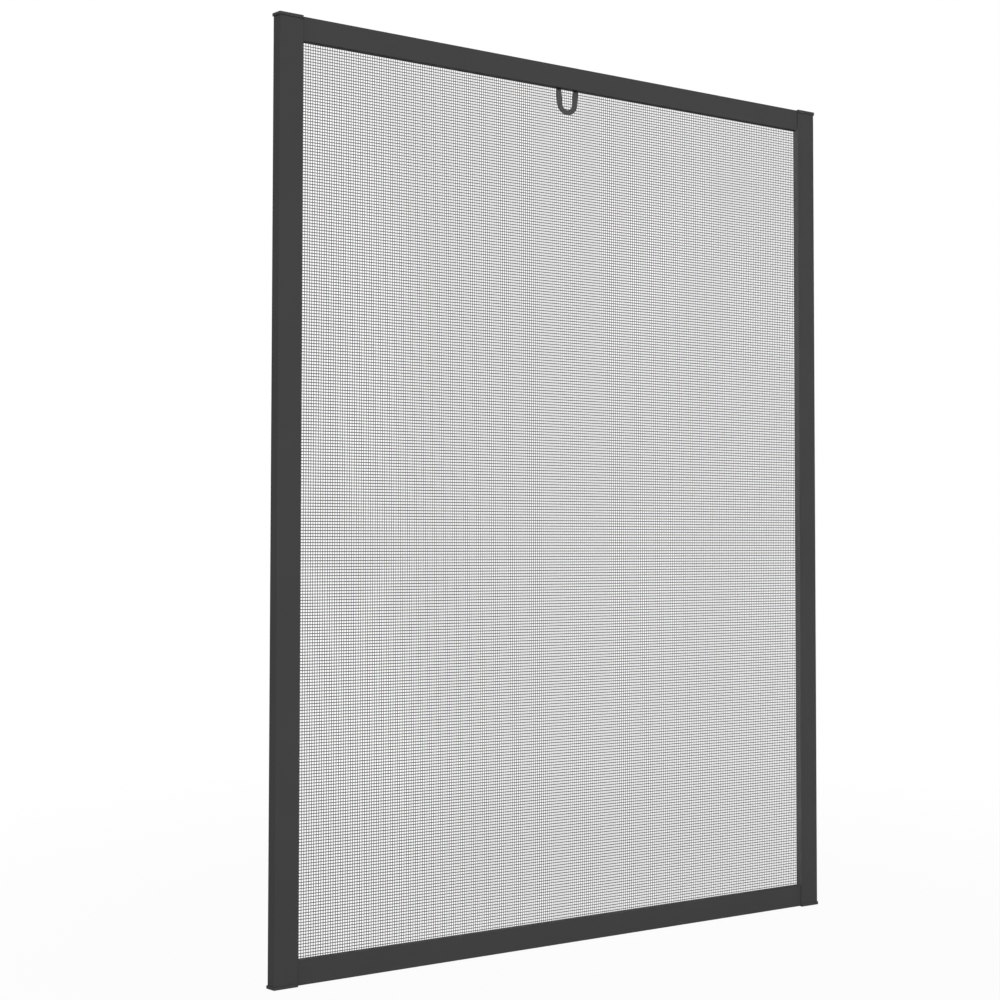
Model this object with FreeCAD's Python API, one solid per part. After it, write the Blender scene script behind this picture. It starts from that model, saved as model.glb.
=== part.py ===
import FreeCAD, Part
import math
import os

# Window insect screen: two stiles, two rails, end caps, corner keys, mesh, splines and a pull tab.
# Millimetres. X runs across the window, Y from the front to the back, Z up. The origin is the centre.

# Overall sizes
FRAME_WIDTH = 862.0
FRAME_HEIGHT = 1200.0

# Stiles and rails
DEPTH = 11.9
STILE_FRONT_WIDTH = 30.0
STILE_SLANT = 4.75
RAIL_WIDTH = 30.5
STILE_PROUD = 2.7
WALL = 1.2
FRONT_EDGE_RADIUS = 0.4
BACK_EDGE_RADIUS = 0.3

# Groove at the back that holds the edge of the mesh
LIP_THICKNESS = 1.4
LIP_DROP = 0.75
GROOVE_DEPTH = 5.2
GROOVE_CLEARANCE = 0.1
NIB_REACH = 0.35
NIB_HEIGHT = 0.6
SPLINE_DIAMETER = 3.9

# Mesh: a thin wall with a grid of gaps, and ridges for the wires on the strips between them
MESH_WALL = 0.35
WEFT_PITCH = 3.776
WARP_PITCH = 3.232
WIRE_WIDTH = 1.1
WIRE_HEIGHT = 0.2
WIRES_PER_STRIP = 7
GAPS_ACROSS = 10
GAPS_UP = 12
FIELD_GAP = 0.5

# End caps
CAP_THICKNESS = 4.0
CAP_OVERHANG = 1.5
CAP_LIP = 1.2
CAP_STANDOFF = 0.35
CAP_CORNER_RADIUS = 0.8
CAP_EDGE_BREAK = 0.4
PLUG_LENGTH = 5.0
PLUG_WALL = 1.6

# Corner keys
KEY_CLEARANCE = 0.15
KEY_RAIL_LEG = 50.0
KEY_STILE_LEG = 48.0
KEY_STILE_WIDTH = 19.0
KEY_CHAMFER = 3.0
KEY_RIM = 2.5
KEY_POCKET_DEPTH = 4.0

# Pull tab, a little left of the middle
TAB_CENTRE = -6.8
TAB_HALF_WIDTH = 17.8
TAB_GAP_HALF_WIDTH = 9.7
TAB_LENGTH = 34.4
TAB_OUTER_RADIUS = 16.2
TAB_INNER_RADIUS = 7.6
TAB_BAND = 6.7
TAB_THICKNESS = 1.9
TAB_MESH_GAP = 0.6
TAB_EDGE_BREAK = 0.5
TAB_TONGUE = 0.8
TAB_HOOK = 3.0
TAB_ROOT = 4.0
TAB_CLEARANCE = 0.05
TAB_SIDE_CLEARANCE = 0.15
TAB_SEAT_GAP = 0.8

# Margin by which a cutting tool passes the face that it opens
OVERCUT = 1.0

# Levels from front to back
FRONT = (CAP_LIP - DEPTH) / 2
BACK = FRONT + DEPTH
RAIL_FRONT = FRONT + STILE_PROUD
LIP_LEVEL = BACK - LIP_DROP
GROOVE_FLOOR = LIP_LEVEL - GROOVE_DEPTH
MESH_MIDDLE = LIP_LEVEL + MESH_WALL / 2
MESH_BACK = LIP_LEVEL + MESH_WALL
CREST_FRONT = LIP_LEVEL - WIRE_HEIGHT
CREST_BACK = MESH_BACK + WIRE_HEIGHT

# Distances from the centre, across and up
STILE_WIDTH = STILE_FRONT_WIDTH + STILE_SLANT
STILE_OUTER = FRAME_WIDTH / 2
STILE_INNER = STILE_OUTER - STILE_WIDTH
RAIL_OUTER = FRAME_HEIGHT / 2 - CAP_STANDOFF
RAIL_INNER = RAIL_OUTER - RAIL_WIDTH
STILE_END = FRAME_HEIGHT / 2 - CAP_THICKNESS

# Offsets from a profile's inner edge
GROOVE_WIDTH = MESH_WALL + SPLINE_DIAMETER + GROOVE_CLEARANCE
GROOVE_FAR = LIP_THICKNESS + GROOVE_WIDTH
CHAMBER_NEAR = GROOVE_FAR + WALL
FOLD_FAR = LIP_THICKNESS + MESH_WALL
SPLINE_OFFSET = FOLD_FAR + GROOVE_CLEARANCE / 2 + SPLINE_DIAMETER / 2
SPLINE_LEVEL = GROOVE_FLOOR + GROOVE_CLEARANCE / 2 + SPLINE_DIAMETER / 2

# Corner keys fill the rail's chamber from front to back, below the cap's plug
KEY_FRONT = RAIL_FRONT + WALL + KEY_CLEARANCE
KEY_BACK = BACK - WALL - KEY_CLEARANCE
KEY_LOW = RAIL_INNER + CHAMBER_NEAR + KEY_CLEARANCE
KEY_HIGH = STILE_END - PLUG_LENGTH - KEY_CLEARANCE

# The pull tab hangs in front of the mesh
TAB_BACK = CREST_FRONT - TAB_MESH_GAP
TAB_FRONT = TAB_BACK - TAB_THICKNESS
TAB_TOP = RAIL_INNER - TAB_SEAT_GAP
TONGUE_BACK = LIP_LEVEL - TAB_CLEARANCE
TONGUE_FRONT = TONGUE_BACK - TAB_TONGUE

UPRIGHT = FreeCAD.Vector(0, 0, 1)
ACROSS = FreeCAD.Vector(1, 0, 0)
BACKWARD = FreeCAD.Vector(0, 1, 0)
CENTRE = FreeCAD.Vector(0, 0, 0)


def stile_plane(a, y):
    """Point of a section that is cut across a stile."""
    return FreeCAD.Vector(a, y, 0)


def rail_plane(a, y):
    """Point of a section that is cut across a rail."""
    return FreeCAD.Vector(0, y, a)


def front_plane(x, z):
    """Point of an outline that is seen from the front."""
    return FreeCAD.Vector(x, 0, z)


def outline_face(corners, plane):
    """Face inside corners (a, b) or (a, b, radius), with an arc at each corner that has a radius."""
    count = len(corners)
    ends = []
    for index, corner in enumerate(corners):
        point = plane(*corner[:2])
        if len(corner) == 2:
            ends.append((point, None, point))
            continue
        before = (plane(*corners[index - 1][:2]) - point).normalize()
        after = (plane(*corners[(index + 1) % count][:2]) - point).normalize()
        half_angle = before.getAngle(after) / 2
        bisector = (before + after).normalize()
        setback = corner[2] / math.tan(half_angle)
        depth = corner[2] / math.sin(half_angle) - corner[2]
        ends.append((point + before * setback, point + bisector * depth, point + after * setback))
    edges = []
    for index, (start, middle, finish) in enumerate(ends):
        if middle:
            edges.append(Part.Arc(start, middle, finish).toShape())
        edges.append(Part.LineSegment(finish, ends[(index + 1) % count][0]).toShape())
    return Part.Face(Part.Wire(edges))


def prism(face, direction, start, end):
    """Solid swept by a face from one distance to another along a direction."""
    moved = face.translated(direction * start)
    return moved.extrude(direction * (end - start))


def block(x0, x1, y0, y1, z0, z1):
    """Box between two corners."""
    return Part.makeBox(x1 - x0, y1 - y0, z1 - z0, FreeCAD.Vector(x0, y0, z0))


def mirrored_across(shape):
    return shape.mirror(CENTRE, ACROSS)


def mirrored_upright(shape):
    return shape.mirror(CENTRE, UPRIGHT)


def profile_corners(inner, outer_front, outer_back, front):
    """Outer outline of an extrusion, with the mesh groove open to the back beside its inner edge."""
    groove_far = inner + GROOVE_FAR
    return [
        (inner, front, FRONT_EDGE_RADIUS),
        (outer_front, front, FRONT_EDGE_RADIUS),
        (outer_back, BACK, BACK_EDGE_RADIUS),
        (groove_far - NIB_REACH, BACK),
        (groove_far - NIB_REACH, BACK - NIB_HEIGHT),
        (groove_far, BACK - NIB_HEIGHT - NIB_REACH),
        (groove_far, GROOVE_FLOOR),
        (inner + LIP_THICKNESS, GROOVE_FLOOR),
        (inner + LIP_THICKNESS, LIP_LEVEL),
        (inner, LIP_LEVEL),
    ]


def chamber_corners(inner, outer_front, outer_back, front, inset):
    """Outline of the main chamber, or of a plug that stands clear of its walls by the inset."""
    slope = (outer_back - outer_front) / (BACK - front)
    side = (WALL + inset) * math.hypot(1, slope)
    near = inner + CHAMBER_NEAR + inset
    low = front + WALL + inset
    high = BACK - WALL - inset
    return [
        (near, low),
        (outer_front + slope * (low - front) - side, low),
        (outer_front + slope * (high - front) - side, high),
        (near, high),
    ]


def small_chamber_corners(inner, front):
    """Outline of the hollow in front of the groove."""
    return [
        (inner + LIP_THICKNESS, front + WALL),
        (inner + GROOVE_FAR, front + WALL),
        (inner + GROOVE_FAR, GROOVE_FLOOR - WALL),
        (inner + LIP_THICKNESS, GROOVE_FLOOR - WALL),
    ]


def extrusion(inner, outer_front, outer_back, front, plane, direction, half_length):
    """Length of hollow aluminium profile, hollow in front of the groove too where there is room."""
    face = outline_face(profile_corners(inner, outer_front, outer_back, front), plane)
    hollows = [chamber_corners(inner, outer_front, outer_back, front, 0)]
    if GROOVE_FLOOR - front > 3 * WALL:
        hollows.append(small_chamber_corners(inner, front))
    solid = prism(face, direction, -half_length, half_length)
    holes = [prism(outline_face(hollow, plane), direction, -half_length, half_length) for hollow in hollows]
    return solid.cut(holes)


STILE_SECTION = (STILE_INNER, STILE_OUTER - STILE_SLANT, STILE_OUTER, FRONT)
RAIL_SECTION = (RAIL_INNER, RAIL_OUTER, RAIL_OUTER, RAIL_FRONT)


def right_stile():
    """Stile with its inner walls cut open at both ends, where the corner keys pass to the rails."""
    stile = extrusion(*STILE_SECTION, stile_plane, UPRIGHT, STILE_END)
    low = KEY_LOW - KEY_CLEARANCE
    front = KEY_FRONT - KEY_CLEARANCE
    back = KEY_BACK + KEY_CLEARANCE
    near = STILE_INNER - OVERCUT
    high = STILE_END + OVERCUT
    groove_end = STILE_INNER + GROOVE_FAR
    wall_end = STILE_INNER + CHAMBER_NEAR
    lip_cut = block(near, groove_end - NIB_REACH, front, BACK + OVERCUT, low, high)
    wall_cut = block(near, wall_end, front, back, low, high)
    upper = lip_cut.fuse(wall_cut)
    return stile.cut([upper, mirrored_upright(upper)])


def plain_rail():
    """Rail that butts against the inner faces of the stiles."""
    return extrusion(*RAIL_SECTION, rail_plane, ACROSS, STILE_INNER)


def top_rail():
    """Rail with a shallow pocket in the groove's lip for the pull tab's tongue."""
    left = TAB_CENTRE - TAB_HALF_WIDTH - TAB_SIDE_CLEARANCE
    right = TAB_CENTRE + TAB_HALF_WIDTH + TAB_SIDE_CLEARANCE
    floor = TONGUE_FRONT - TAB_CLEARANCE
    lip_end = RAIL_INNER + LIP_THICKNESS
    hook_near = lip_end - TAB_TONGUE - TAB_CLEARANCE
    hook_floor = TONGUE_FRONT - TAB_HOOK - TAB_CLEARANCE
    seat = block(left, right, floor, LIP_LEVEL + OVERCUT, RAIL_INNER - OVERCUT, lip_end)
    pocket = block(left, right, hook_floor, LIP_LEVEL + OVERCUT, hook_near, lip_end)
    return plain_rail().cut([seat, pocket])


def top_right_cap():
    """End plate that stands proud at the front and the outer side, on a hollow plug."""
    inner, outer_front, outer_back, front = STILE_SECTION
    slope = STILE_SLANT / DEPTH
    lip_front = front - CAP_LIP
    corners = [
        (inner, lip_front),
        (outer_front + CAP_OVERHANG - slope * CAP_LIP, lip_front, CAP_CORNER_RADIUS),
        (outer_back + CAP_OVERHANG, BACK),
        (inner, BACK),
    ]
    top = FRAME_HEIGHT / 2
    plate = prism(outline_face(corners, stile_plane), UPRIGHT, STILE_END, top)
    plate = plate.makeChamfer(CAP_EDGE_BREAK, [edge for edge in plate.Edges if broken_cap_edge(edge, top)])
    plug_face = outline_face(chamber_corners(*STILE_SECTION, KEY_CLEARANCE), stile_plane)
    hollow_face = outline_face(chamber_corners(*STILE_SECTION, KEY_CLEARANCE + PLUG_WALL), stile_plane)
    plug = prism(plug_face, UPRIGHT, STILE_END - PLUG_LENGTH, STILE_END)
    hollow = prism(hollow_face, UPRIGHT, STILE_END - PLUG_LENGTH, STILE_END)
    return plate.fuse(plug.cut(hollow)).removeSplitter()


def broken_cap_edge(edge, top):
    """True on the edges of the plate's end face that show: the front, the outer side and their corner."""
    box = edge.BoundBox
    on_end = box.ZMin > top - CAP_THICKNESS / 2
    flush_inner = box.XMax < STILE_INNER + CAP_THICKNESS / 2
    flush_back = box.YMin > BACK - CAP_LIP / 2
    return on_end and not flush_inner and not flush_back


def top_right_key():
    """L-shaped key: one leg down the stile's chamber, one along the rail's, both hollowed from the front."""
    near = STILE_INNER + CHAMBER_NEAR + KEY_CLEARANCE
    far = near + KEY_STILE_WIDTH
    rail_tip = STILE_INNER - KEY_RAIL_LEG
    stile_tip = KEY_HIGH - KEY_STILE_LEG
    corners = [
        (rail_tip, KEY_LOW + KEY_CHAMFER),
        (rail_tip, KEY_HIGH - KEY_CHAMFER),
        (rail_tip + KEY_CHAMFER, KEY_HIGH),
        (far, KEY_HIGH),
        (far, stile_tip + KEY_CHAMFER),
        (far - KEY_CHAMFER, stile_tip),
        (near + KEY_CHAMFER, stile_tip),
        (near, stile_tip + KEY_CHAMFER),
        (near, KEY_LOW),
        (rail_tip + KEY_CHAMFER, KEY_LOW),
    ]
    key = prism(outline_face(corners, front_plane), BACKWARD, KEY_FRONT, KEY_BACK)
    pocket_front = KEY_FRONT - OVERCUT
    pocket_back = KEY_FRONT + KEY_POCKET_DEPTH
    rail_pocket = block(rail_tip + KEY_CHAMFER + KEY_RIM, STILE_INNER - KEY_RIM, pocket_front, pocket_back,
                        KEY_LOW + KEY_RIM, KEY_HIGH - KEY_RIM)
    stile_pocket = block(near + KEY_RIM, far - KEY_RIM, pocket_front, pocket_back,
                         stile_tip + KEY_CHAMFER + KEY_RIM, KEY_LOW - KEY_RIM)
    return key.cut([rail_pocket, stile_pocket])


def right_spline():
    """Round cord in the stile's groove, from one rail's groove to the other's."""
    half = RAIL_INNER + FOLD_FAR
    start = FreeCAD.Vector(STILE_INNER + SPLINE_OFFSET, SPLINE_LEVEL, -half)
    return Part.makeCylinder(SPLINE_DIAMETER / 2, 2 * half, start, UPRIGHT)


def top_spline():
    """Round cord in the rail's groove."""
    half = STILE_INNER - GROOVE_CLEARANCE
    start = FreeCAD.Vector(-half, SPLINE_LEVEL, RAIL_INNER + SPLINE_OFFSET)
    return Part.makeCylinder(SPLINE_DIAMETER / 2, 2 * half, start, ACROSS)


def strip_middles(half_span, gaps):
    """Places of the strips beside the gaps, with one on each edge of the field."""
    step = 2 * half_span / gaps
    return [-half_span + step * index for index in range(gaps + 1)]


def gap_spans(half_span, gaps, pitch):
    """Start and end of each gap, between one strip of wires and the next."""
    middles = strip_middles(half_span, gaps)
    half_strip = WIRES_PER_STRIP * pitch / 2
    return [(before + half_strip, after - half_strip) for before, after in zip(middles, middles[1:])]


def ridged_corners(half_span, gaps, pitch, base, valley, crest):
    """Outline of a layer that is flat at its base and carries the wires of each strip on its other side."""
    half_wire = WIRE_WIDTH / 2
    corners = [(half_span, base), (-half_span, base), (-half_span, valley)]
    for strip in strip_middles(half_span, gaps):
        for index in range(WIRES_PER_STRIP):
            middle = strip + pitch * (index - (WIRES_PER_STRIP - 1) / 2)
            if abs(middle) + half_wire < half_span:
                corners += [(middle - half_wire, valley), (middle, crest), (middle + half_wire, valley)]
    corners.append((half_span, valley))
    return corners


def insect_mesh():
    """Mesh: a ridged field with gaps, a flat margin over the lips and edges folded into the grooves."""
    half_x = STILE_INNER - FIELD_GAP
    half_z = RAIL_INNER - FIELD_GAP
    weft = ridged_corners(half_z, GAPS_UP, WEFT_PITCH, MESH_MIDDLE, LIP_LEVEL, CREST_FRONT)
    warp = ridged_corners(half_x, GAPS_ACROSS, WARP_PITCH, MESH_MIDDLE, MESH_BACK, CREST_BACK)
    columns = gap_spans(half_x, GAPS_ACROSS, WARP_PITCH)
    rows = gap_spans(half_z, GAPS_UP, WEFT_PITCH)
    gaps = [block(x0, x1, CREST_FRONT, CREST_BACK, z0, z1) for x0, x1 in columns for z0, z1 in rows]
    weft_layer = prism(outline_face(weft, rail_plane), ACROSS, -half_x, half_x)
    warp_layer = prism(outline_face(warp, stile_plane), UPRIGHT, -half_z, half_z)
    fold_x = STILE_INNER + FOLD_FAR
    fold_z = RAIL_INNER + FOLD_FAR
    edge_x = STILE_INNER - GROOVE_CLEARANCE
    fold_floor = GROOVE_FLOOR + GROOVE_CLEARANCE
    margin = block(-fold_x, fold_x, LIP_LEVEL, MESH_BACK, -fold_z, fold_z)
    margin = margin.cut(block(-half_x, half_x, LIP_LEVEL, MESH_BACK, -half_z, half_z))
    right_fold = block(fold_x - MESH_WALL, fold_x, fold_floor, LIP_LEVEL, -fold_z, fold_z)
    top_fold = block(-edge_x, edge_x, fold_floor, LIP_LEVEL, fold_z - MESH_WALL, fold_z)
    folds = [right_fold, mirrored_across(right_fold), top_fold, mirrored_upright(top_fold)]
    return weft_layer.fuse([warp_layer, margin] + folds).removeSplitter().cut(gaps)


def tangent_corner(half_width, top, centre, radius):
    """Point where a line from (half_width, top) touches the right side of a circle at (0, centre)."""
    rise = top - centre
    distance = math.hypot(half_width, rise)
    angle = math.atan2(rise, half_width) - math.acos(radius / distance)
    return radius * math.cos(angle), centre + radius * math.sin(angle)


def pull_tab():
    """U loop in front of the mesh, hooked over the lip of the top rail by a thin tongue."""
    bottom = RAIL_INNER - TAB_LENGTH
    outer_centre = bottom + TAB_OUTER_RADIUS
    inner_bottom = bottom + TAB_BAND
    inner_centre = inner_bottom + TAB_INNER_RADIUS
    outer_x, outer_z = tangent_corner(TAB_HALF_WIDTH, TAB_TOP, outer_centre, TAB_OUTER_RADIUS)
    inner_x, inner_z = tangent_corner(TAB_GAP_HALF_WIDTH, TAB_TOP, inner_centre, TAB_INNER_RADIUS)
    straight = [
        [(-TAB_GAP_HALF_WIDTH, TAB_TOP), (-TAB_HALF_WIDTH, TAB_TOP), (-outer_x, outer_z)],
        [(outer_x, outer_z), (TAB_HALF_WIDTH, TAB_TOP), (TAB_GAP_HALF_WIDTH, TAB_TOP), (inner_x, inner_z)],
        [(-inner_x, inner_z), (-TAB_GAP_HALF_WIDTH, TAB_TOP)],
    ]
    edges = []
    for x, z, lowest in ((outer_x, outer_z, bottom), (inner_x, inner_z, inner_bottom)):
        edges.append(Part.Arc(front_plane(-x, z), front_plane(0, lowest), front_plane(x, z)).toShape())
    for run in straight:
        points = [front_plane(x, z) for x, z in run]
        edges += [Part.LineSegment(a, b).toShape() for a, b in zip(points, points[1:])]
    face = Part.Face(Part.Wire(Part.__sortEdges__(edges)))
    loop = prism(face, BACKWARD, TAB_FRONT, TAB_BACK)
    loop = loop.makeChamfer(TAB_EDGE_BREAK, [edge for edge in loop.Edges if tab_outline_edge(edge)])

    root_low = TAB_TOP - TAB_ROOT
    root_front = TAB_BACK - TAB_EDGE_BREAK
    root_back = CREST_FRONT - TAB_CLEARANCE
    root_corners = [
        (root_low, TAB_BACK),
        (TAB_TOP - TAB_SEAT_GAP, root_back),
        (RAIL_INNER, root_back),
        (RAIL_INNER, TONGUE_FRONT),
        (TAB_TOP, TONGUE_FRONT),
        (TAB_TOP, root_front),
        (root_low, root_front),
    ]
    root = outline_face(root_corners, rail_plane)
    root_half = TAB_HALF_WIDTH - 2 * TAB_EDGE_BREAK
    right_root = prism(root, ACROSS, TAB_GAP_HALF_WIDTH + TAB_EDGE_BREAK, root_half)

    lip_end = RAIL_INNER + LIP_THICKNESS
    hook_low = lip_end - TAB_TONGUE
    hook_front = TONGUE_FRONT - TAB_HOOK
    tongue = block(-TAB_HALF_WIDTH, TAB_HALF_WIDTH, TONGUE_FRONT, TONGUE_BACK, RAIL_INNER, lip_end)
    hook = block(-TAB_HALF_WIDTH, TAB_HALF_WIDTH, hook_front, TONGUE_FRONT, hook_low, lip_end)
    tab = loop.fuse([right_root, mirrored_across(right_root), tongue, hook]).removeSplitter()
    return tab.translated(ACROSS * TAB_CENTRE)


def tab_outline_edge(edge):
    """True on the edges of the loop's front and back faces, apart from the tops of its legs."""
    box = edge.BoundBox
    return box.YLength < TAB_EDGE_BREAK and box.ZMin < TAB_TOP - TAB_EDGE_BREAK


def corner_pieces(name, top_right):
    """Four pieces, one a corner, mirrored from the one at the top right."""
    top_left = mirrored_across(top_right)
    return {
        name + "_top_right": top_right,
        name + "_top_left": top_left,
        name + "_bottom_right": mirrored_upright(top_right),
        name + "_bottom_left": mirrored_upright(top_left),
    }


def main():
    stile = right_stile()
    side_spline = right_spline()
    end_spline = top_spline()
    pieces = {
        "right_stile": stile,
        "left_stile": mirrored_across(stile),
        "top_rail": top_rail(),
        "bottom_rail": mirrored_upright(plain_rail()),
        "spline_right": side_spline,
        "spline_left": mirrored_across(side_spline),
        "spline_top": end_spline,
        "spline_bottom": mirrored_upright(end_spline),
        "insect_mesh": insect_mesh(),
        "pull_tab": pull_tab(),
    }
    pieces.update(corner_pieces("cap", top_right_cap()))
    pieces.update(corner_pieces("key", top_right_key()))
    os.makedirs("parts", exist_ok=True)
    for name, shape in pieces.items():
        shape.exportStep("parts/" + name + ".step")


main()
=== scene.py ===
import math

import bpy
from mathutils import Matrix, Vector


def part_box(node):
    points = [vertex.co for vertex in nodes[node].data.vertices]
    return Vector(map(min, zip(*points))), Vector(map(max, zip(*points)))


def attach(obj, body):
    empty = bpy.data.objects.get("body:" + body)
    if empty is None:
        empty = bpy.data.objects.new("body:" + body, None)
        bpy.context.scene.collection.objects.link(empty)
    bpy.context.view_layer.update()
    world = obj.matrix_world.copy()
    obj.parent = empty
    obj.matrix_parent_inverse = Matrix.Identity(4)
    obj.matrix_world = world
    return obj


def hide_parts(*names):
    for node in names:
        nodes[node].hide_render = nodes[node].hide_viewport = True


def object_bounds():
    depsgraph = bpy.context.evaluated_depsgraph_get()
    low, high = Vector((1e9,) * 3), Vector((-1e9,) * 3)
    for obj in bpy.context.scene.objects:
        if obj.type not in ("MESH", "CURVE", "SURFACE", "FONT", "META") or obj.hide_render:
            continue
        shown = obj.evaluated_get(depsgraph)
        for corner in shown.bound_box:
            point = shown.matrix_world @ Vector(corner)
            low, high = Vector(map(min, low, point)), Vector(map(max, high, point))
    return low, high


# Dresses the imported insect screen: powder-coated frame, moulded caps and tab, and the mesh wire by wire.
# Metres, in the CAD frame: X across the window, Y from the front to the back, Z up.

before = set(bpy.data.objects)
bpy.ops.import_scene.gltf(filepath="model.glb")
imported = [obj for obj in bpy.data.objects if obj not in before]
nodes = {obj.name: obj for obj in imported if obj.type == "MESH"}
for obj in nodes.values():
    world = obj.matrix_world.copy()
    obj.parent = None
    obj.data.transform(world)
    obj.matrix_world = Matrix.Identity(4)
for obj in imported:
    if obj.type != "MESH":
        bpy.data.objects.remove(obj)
cad_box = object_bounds()

MM = 0.001
ACROSS = Vector((1, 0, 0))
BACKWARD = Vector((0, 1, 0))
UPRIGHT = Vector((0, 0, 1))

# Camera, fitted to the edges of the frame in the photograph: a 50 mm lens on a 36 mm sensor
LENS_MM = 50.0
SENSOR_MM = 36.0
CAMERA_YAW = math.radians(28.366)
CAMERA_PITCH = math.radians(1.669)
CAMERA_ROLL = math.radians(0.088)
CAMERA_FROM_FRONT = Vector((-0.99385, -1.6248, -0.0543))

# Mesh, with the place of the wires nearest the middle
WEFT_PITCH = 3.777 * MM
WARP_PITCH = 3.233 * MM
WEFT_START = -0.64 * MM
WARP_START = -0.52 * MM
WEFT_WIDTH = 0.98 * MM
WARP_WIDTH = 0.79 * MM
WIRE_THICKNESS = 0.2 * MM

# Levels of the wires behind the tab, and their ends in the grooves
TAB_CLEARANCE = 0.05 * MM
WEFT_LEVEL = 0.14 * MM
WARP_LEVEL = 0.32 * MM
FLOOR_CLEARANCE = 0.2 * MM
END_TUCK = 0.18 * MM
END_ROUNDING = 0.6 * MM

# Flat six-sided wire section: half widths across the wire and half thicknesses out of its plane
WIRE_SECTION = ((-1, 0), (-0.5, -1), (0.5, -1), (1, 0), (0.5, 1), (-0.5, 1))

# Range of a noise that carries a finish from its first value to its second
NOISE_LOW = 0.3
NOISE_HIGH = 0.7

# Stage
FLOOR_SIZE = 16.0
FLOOR_TONE = 0.4
FLOOR_WHITE_NEAR = 0.965
FLOOR_FADE_START = 0.6
FLOOR_FADE_END = 1.6
AMBIENT = 0.28
SUN_ELEVATION = math.radians(10.0)
SUN_ANGLE = math.radians(25.0)
WHITE = (1, 1, 1, 1)


def grey(tone):
    """Neutral colour of a tone."""
    return (tone, tone, tone)


def new_material(name):
    """Empty node material with its principled shader."""
    material = bpy.data.materials.new(name)
    material.use_nodes = True
    return material, material.node_tree, material.node_tree.nodes["Principled BSDF"]


def add_node(tree, kind, **values):
    """New node with the given input values."""
    node = tree.nodes.new(kind)
    for key, value in values.items():
        node.inputs[key.replace("_", " ")].default_value = value
    return node


def add_math(tree, kind, operation):
    """New math node of an operation."""
    node = tree.nodes.new(kind)
    node.operation = operation
    return node


def noise(tree, scale, detail=2.0, roughness=0.5):
    """Noise over the object's own coordinates, with the scale in waves per metre."""
    place = tree.nodes.new("ShaderNodeTexCoord")
    texture = add_node(tree, "ShaderNodeTexNoise", Scale=scale, Detail=detail, Roughness=roughness)
    tree.links.new(place.outputs["Object"], texture.inputs["Vector"])
    return texture.outputs["Fac"]


def varied_colour(tree, shader, factor, dark, light):
    """Base colour that drifts between two tones."""
    ramp = tree.nodes.new("ShaderNodeValToRGB")
    first, second = ramp.color_ramp.elements
    first.color = (*dark, 1)
    second.color = (*light, 1)
    first.position = NOISE_LOW
    second.position = NOISE_HIGH
    tree.links.new(factor, ramp.inputs["Fac"])
    tree.links.new(ramp.outputs["Color"], shader.inputs["Base Color"])


def varied_roughness(tree, shader, factor, low, high):
    """Roughness that drifts between two values."""
    drift = add_node(tree, "ShaderNodeMapRange", From_Min=NOISE_LOW, From_Max=NOISE_HIGH,
                     To_Min=low, To_Max=high)
    tree.links.new(factor, drift.inputs["Value"])
    tree.links.new(drift.outputs["Result"], shader.inputs["Roughness"])


def bumped(tree, shader, factor, distance, strength):
    """Surface relief of a given depth."""
    bump = add_node(tree, "ShaderNodeBump", Distance=distance, Strength=strength)
    tree.links.new(factor, bump.inputs["Height"])
    tree.links.new(bump.outputs["Normal"], shader.inputs["Normal"])


def powder_coat():
    """Matt anthracite powder coat: a fine orange peel with a slow drift in tone."""
    material, tree, shader = new_material("powder_coat")
    shader.inputs["Specular IOR Level"].default_value = 0.025
    varied_colour(tree, shader, noise(tree, scale=9.0), dark=grey(0.053), light=grey(0.056))
    varied_roughness(tree, shader, noise(tree, scale=60.0), low=0.7, high=0.78)
    bumped(tree, shader, noise(tree, scale=1400.0, detail=3.0), distance=0.08 * MM, strength=0.5)
    return material


def moulded_plastic(name, dark, light, roughness, specular):
    """Moulded plastic with a spark-eroded grain."""
    material, tree, shader = new_material(name)
    shader.inputs["Specular IOR Level"].default_value = specular
    varied_colour(tree, shader, noise(tree, scale=40.0), dark, light)
    varied_roughness(tree, shader, noise(tree, scale=150.0), low=roughness - 0.05, high=roughness + 0.05)
    bumped(tree, shader, noise(tree, scale=2600.0, detail=3.0), distance=0.06 * MM, strength=0.4)
    return material


def coated_yarn():
    """Glass-fibre yarn in a thin dark coat, with the yarn's twist as relief."""
    material, tree, shader = new_material("coated_yarn")
    shader.inputs["Specular IOR Level"].default_value = 0.2
    varied_colour(tree, shader, noise(tree, scale=120.0), dark=grey(0.037), light=grey(0.047))
    varied_roughness(tree, shader, noise(tree, scale=500.0), low=0.5, high=0.65)
    bumped(tree, shader, noise(tree, scale=3200.0), distance=0.06 * MM, strength=0.6)
    return material


def finish_nodes(names, material):
    """Gives CAD nodes a finish."""
    for name in names:
        nodes[name].data.materials.clear()
        nodes[name].data.materials.append(material)


def finish_frame():
    """Finishes of the CAD nodes that stay in view."""
    corners = [end + "_" + side for end in ("top", "bottom") for side in ("left", "right")]
    splines = ["spline_" + side for side in ("left", "right", "top", "bottom")]
    cap = moulded_plastic("cap_plastic", grey(0.052), grey(0.055), roughness=0.65, specular=0.04)
    nylon = moulded_plastic("key_nylon", (0.018, 0.018, 0.019), (0.022, 0.022, 0.023),
                            roughness=0.5, specular=0.4)
    vinyl = moulded_plastic("spline_vinyl", (0.026, 0.026, 0.027), (0.032, 0.032, 0.033),
                            roughness=0.6, specular=0.3)
    tab = moulded_plastic("tab_plastic", grey(0.06), grey(0.066), roughness=0.5, specular=0.12)
    finish_nodes(["left_stile", "right_stile", "top_rail", "bottom_rail"], powder_coat())
    finish_nodes(["cap_" + corner for corner in corners], cap)
    finish_nodes(["key_" + corner for corner in corners], nylon)
    finish_nodes(splines, vinyl)
    finish_nodes(["pull_tab"], tab)


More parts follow.
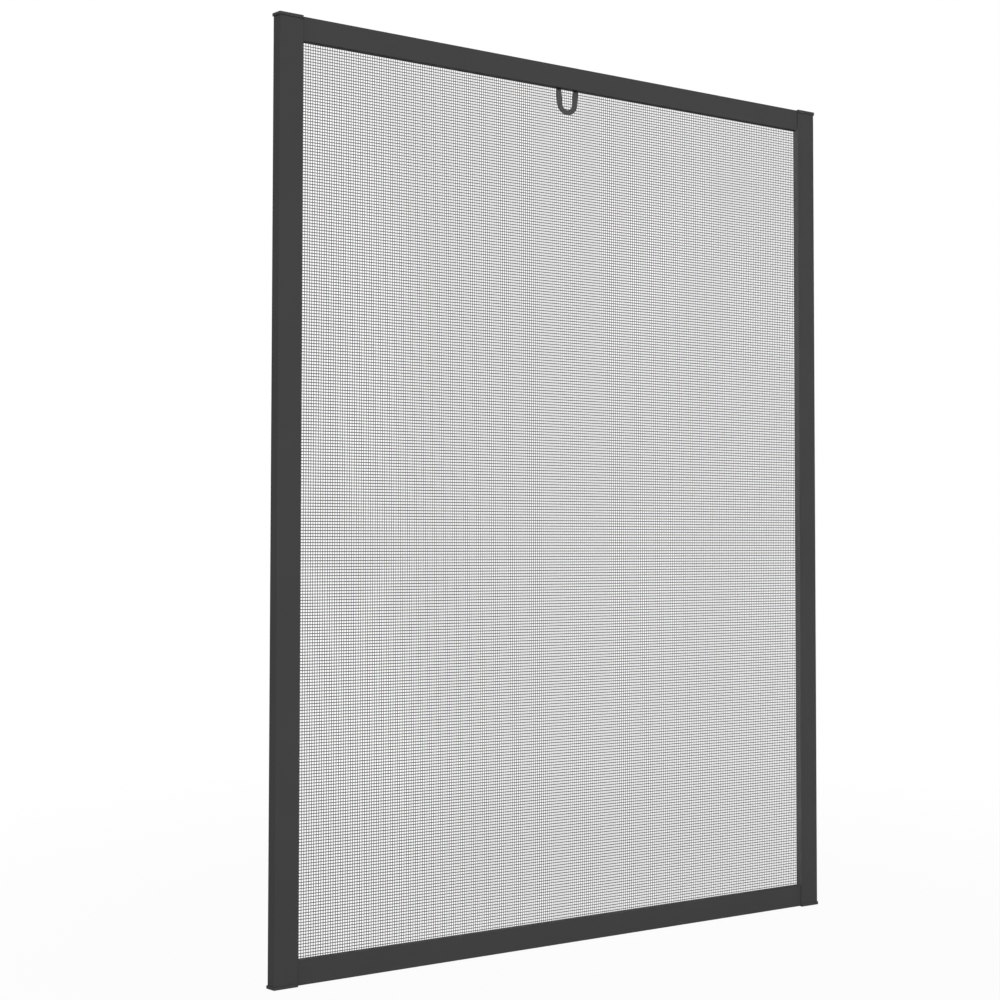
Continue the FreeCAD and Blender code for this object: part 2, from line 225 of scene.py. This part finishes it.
def add_wire(vertices, faces, path, across, width):
    """Adds one closed wire along a path of (point, normal) pairs, with its width along across."""
    sides = len(WIRE_SECTION)
    start = len(vertices)
    for point, normal in path:
        for side, height in WIRE_SECTION:
            vertices.append(point + across * (side * width / 2) + normal * (height * WIRE_THICKNESS / 2))
    for index in range(len(path) - 1):
        low = start + index * sides
        for side in range(sides):
            after = (side + 1) % sides
            faces.append((low + side, low + after, low + sides + after, low + sides + side))
    last = start + (len(path) - 1) * sides
    faces.append(tuple(start + side for side in reversed(range(sides))))
    faces.append(tuple(last + side for side in range(sides)))


def folded_path(along, half_span, level, floor, offset):
    """Path of a wire that lies flat between two grooves and turns down to their floor at both ends."""
    half_flat = half_span - END_ROUNDING
    half_fold = half_span - END_TUCK
    path = []
    for sign in (-1, 1):
        outward = along * sign
        corner = (outward + BACKWARD).normalized()
        end = [
            (offset + outward * half_fold + BACKWARD * floor, outward),
            (offset + outward * half_fold + BACKWARD * level, corner),
            (offset + outward * half_flat + BACKWARD * level, BACKWARD),
        ]
        path += end if sign < 0 else reversed(end)
    return path


def wire_places(half_span, pitch, start, width):
    """Places of the wires that lie in an opening, counted out both ways from the one nearest its middle."""
    reach = math.ceil(half_span / pitch)
    places = [start + pitch * index for index in range(-reach, reach + 1)]
    return [place for place in places if abs(place) + width / 2 < half_span]


def woven_mesh():
    """The insect mesh as crossing wires: weft in front, warp behind, with ends tucked into the grooves."""
    low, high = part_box("insect_mesh")
    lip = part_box("pull_tab")[1].y + TAB_CLEARANCE
    floor = low.y + FLOOR_CLEARANCE
    weft = wire_places(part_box("top_rail")[0].z, WEFT_PITCH, WEFT_START, WEFT_WIDTH)
    warp = wire_places(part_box("top_rail")[1].x, WARP_PITCH, WARP_START, WARP_WIDTH)
    vertices, faces = [], []
    for z in weft:
        path = folded_path(ACROSS, high.x, lip + WEFT_LEVEL, floor, UPRIGHT * z)
        add_wire(vertices, faces, path, -UPRIGHT, WEFT_WIDTH)
    for x in warp:
        path = folded_path(UPRIGHT, high.z, lip + WARP_LEVEL, floor, ACROSS * x)
        add_wire(vertices, faces, path, ACROSS, WARP_WIDTH)
    mesh = bpy.data.meshes.new("woven_mesh")
    mesh.from_pydata(vertices, [], faces)
    mesh.update()
    mesh.materials.append(coated_yarn())
    piece = bpy.data.objects.new("woven_mesh", mesh)
    bpy.context.scene.collection.objects.link(piece)
    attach(piece, "root")
    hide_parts("insect_mesh")


def seen_directly(tree):
    """1 for rays that show a surface to the camera, also by reflection or through glass."""
    path = tree.nodes.new("ShaderNodeLightPath")
    total = path.outputs["Is Camera Ray"]
    for name in ("Is Glossy Ray", "Is Transmission Ray"):
        largest = add_math(tree, "ShaderNodeMath", "MAXIMUM")
        tree.links.new(total, largest.inputs[0])
        tree.links.new(path.outputs[name], largest.inputs[1])
        total = largest.outputs[0]
    return total


def white_world():
    """White to the eye and in reflections, a soft even light otherwise."""
    world = bpy.data.worlds.new("studio")
    world.use_nodes = True
    tree = world.node_tree
    light = tree.nodes["Background"]
    light.inputs["Color"].default_value = WHITE
    strength = add_node(tree, "ShaderNodeMapRange", From_Min=0.0, From_Max=1.0, To_Min=AMBIENT, To_Max=1.0)
    tree.links.new(seen_directly(tree), strength.inputs["Value"])
    tree.links.new(strength.outputs["Result"], light.inputs["Strength"])
    bpy.context.scene.world = world


def floor_material():
    """Pale matt floor that keeps a soft shadow near the object and is plain white further out."""
    material = bpy.data.materials.new("floor")
    material.use_nodes = True
    tree = material.node_tree
    tree.nodes.clear()
    output = tree.nodes.new("ShaderNodeOutputMaterial")
    matt = add_node(tree, "ShaderNodeBsdfDiffuse", Color=(*grey(FLOOR_TONE), 1))
    glow = add_node(tree, "ShaderNodeEmission", Color=WHITE, Strength=1.0)
    mix = tree.nodes.new("ShaderNodeMixShader")
    place = tree.nodes.new("ShaderNodeTexCoord")
    distance = add_math(tree, "ShaderNodeVectorMath", "LENGTH")
    fade = add_node(tree, "ShaderNodeMapRange", From_Min=FLOOR_FADE_START, From_Max=FLOOR_FADE_END,
                    To_Min=FLOOR_WHITE_NEAR, To_Max=1.0)
    both = add_math(tree, "ShaderNodeMath", "MULTIPLY")
    tree.links.new(place.outputs["Object"], distance.inputs[0])
    tree.links.new(distance.outputs["Value"], fade.inputs["Value"])
    tree.links.new(fade.outputs["Result"], both.inputs[0])
    tree.links.new(seen_directly(tree), both.inputs[1])
    tree.links.new(both.outputs[0], mix.inputs["Fac"])
    tree.links.new(matt.outputs[0], mix.inputs[1])
    tree.links.new(glow.outputs[0], mix.inputs[2])
    tree.links.new(mix.outputs[0], output.inputs["Surface"])
    return material


def white_floor():
    """Floor under the screen's lower caps."""
    bpy.ops.mesh.primitive_plane_add(size=FLOOR_SIZE, location=(0, 0, cad_box[0].z))
    floor = bpy.context.object
    floor.name = "floor"
    floor.data.materials.append(floor_material())


def softbox(name, place, aim, width, height, power, spread=180.0):
    """Area lamp that faces a point, with its beam narrowed to a spread in degrees."""
    data = bpy.data.lights.new(name, "AREA")
    data.shape = "RECTANGLE"
    data.size = width
    data.size_y = height
    data.energy = power
    data.spread = math.radians(spread)
    lamp = bpy.data.objects.new(name, data)
    lamp.location = place
    lamp.rotation_euler = (Vector(aim) - Vector(place)).to_track_quat("-Z", "Y").to_euler()
    bpy.context.scene.collection.objects.link(lamp)


def soft_sun(name, azimuth, strength):
    """Distant soft light, with its azimuth in degrees from the front towards the left."""
    data = bpy.data.lights.new(name, "SUN")
    data.energy = strength
    data.angle = SUN_ANGLE
    lamp = bpy.data.objects.new(name, data)
    lamp.rotation_euler = (math.pi / 2 - SUN_ELEVATION, 0, -math.radians(azimuth))
    bpy.context.scene.collection.objects.link(lamp)


def lights():
    """Frontal key, soft suns from the left, a low light behind and two strips on the right stile."""
    middle = (0, 0, 0)
    softbox("key_softbox", (-0.3, -4.0, 1.6), middle, width=2.0, height=2.0, power=48.0)
    soft_sun("left_sun", azimuth=20.0, strength=1.58)
    soft_sun("side_sun", azimuth=80.0, strength=0.54)
    softbox("back_softbox", (3.0, 6.4, 0.1), middle, width=3.0, height=0.8, power=250.0)
    softbox("rear_strip", (-1.0, 1.65, 0.05), (0.43, 0, 0.05), width=0.3, height=2.4, power=4.6, spread=14.0)
    softbox("front_strip", (-2.4, -0.75, 0.3), (0.47, 0, 0.3), width=0.15, height=2.2, power=0.28, spread=8.0)


def photo_camera():
    """Camera at the photograph's viewing angle."""
    data = bpy.data.cameras.new("camera")
    data.lens = LENS_MM
    data.sensor_width = SENSOR_MM
    camera = bpy.data.objects.new("camera", data)
    front_centre = Vector((0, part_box("right_stile")[0].y, 0))
    yaw = Matrix.Rotation(-CAMERA_YAW, 4, "Z")
    pitch = Matrix.Rotation(math.pi / 2 + CAMERA_PITCH, 4, "X")
    roll = Matrix.Rotation(CAMERA_ROLL, 4, "Z")
    camera.matrix_world = Matrix.Translation(front_centre + CAMERA_FROM_FRONT) @ yaw @ pitch @ roll
    bpy.context.scene.collection.objects.link(camera)
    bpy.context.scene.camera = camera


finish_frame()
woven_mesh()
white_world()
white_floor()
lights()
photo_camera()
bpy.context.scene.view_settings.view_transform = "Standard"
